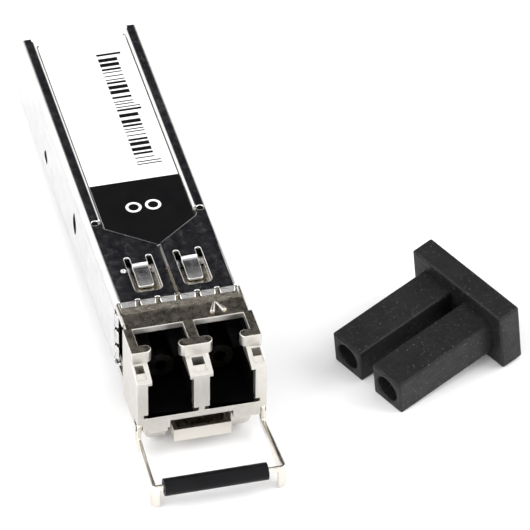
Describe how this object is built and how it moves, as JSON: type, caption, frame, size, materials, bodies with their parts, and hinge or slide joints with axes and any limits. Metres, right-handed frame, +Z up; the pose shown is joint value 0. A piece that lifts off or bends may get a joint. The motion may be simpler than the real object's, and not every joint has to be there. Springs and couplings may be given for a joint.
{
  "type": "optical transceiver module",
  "caption": "Pluggable optical transceiver with a duplex fibre port nose, sheet metal cover, hinged bail latch and a separate black dust plug.",
  "frame": {"origin": "on the centre line, where the bottom plane of the cover meets the plane of the nose's front face", "axes": "+X to the right seen from the ports, +Y from the ports to the card edge, which is the way the module slides into its cage, +Z up"},
  "size_m": [0.0429, 0.0648, 0.0126],
  "materials": {
    "cast_nickel": "satin nickel plated die casting",
    "sheet_nickel": "bright nickel plated sheet",
    "deck_nickel": "bright nickel plated",
    "bail_nickel": "nickel plated stamping",
    "lever_nickel": "nickel plated stamping",
    "sheet_steel": "stamped stainless steel",
    "barrel_metal": "turned",
    "gold": "gold plated",
    "black_plastic": "moulded",
    "tray_plastic": "moulded",
    "flex_film": "polyimide film",
    "board_green": "solder mask",
    "chip_black": "moulded package",
    "chip_tan": "chip components",
    "label_film": "printed film",
    "sleeve_plastic": "extruded tube",
    "plug_rubber": "textured moulding"
  },
  "bodies": {
    "module": {"nose_housing": "cast_nickel", "port_insert": "black_plastic", "osa_clamp": "sheet_steel", "transmitter_barrel": "barrel_metal", "receiver_barrel": "barrel_metal", "transmitter_can": "gold", "receiver_can": "gold", "transmitter_flex": "flex_film", "receiver_flex": "flex_film", "circuit_board": "board_green", "edge_contacts": "gold", "laser_driver": "chip_black", "limiting_amplifier": "chip_black", "microcontroller": "chip_black", "chip_components": "chip_tan", "board_tray": "tray_plastic", "label_deck": "deck_nickel", "outer_cover": "sheet_nickel", "label": "label_film", "lever_pin": "sheet_steel", "latch_spring": "sheet_steel"},
    "bail": {"bail_strip": "bail_nickel", "bail_pins": "bail_nickel", "bail_sleeve": "sleeve_plastic"},
    "lever": {"latch_lever": "lever_nickel"},
    "plug": {"dust_plug": "plug_rubber"}
  },
  "joints": [
    {"name": "bail_hinge", "type": "hinge", "parent": "module", "child": "bail", "pos_m": [0, 0.0008, 0.0002], "axis": [-1, 0, 0], "range_deg": [0, 90]},
    {"name": "lever_rock", "type": "hinge", "parent": "module", "child": "lever", "pos_m": [0, 0.006, 0.00035], "axis": [-1, 0, 0], "range_deg": [0, 4.5]},
    {"name": "plug_lift", "type": "slide", "parent": "module", "child": "plug", "axis": [0, -0.0592, 0.9982], "range_m": [0, 0.03]}
  ],
  "couplings": [
    {"joint": "lever_rock", "follows": "bail_hinge", "ratio": 0.05}
  ]
}
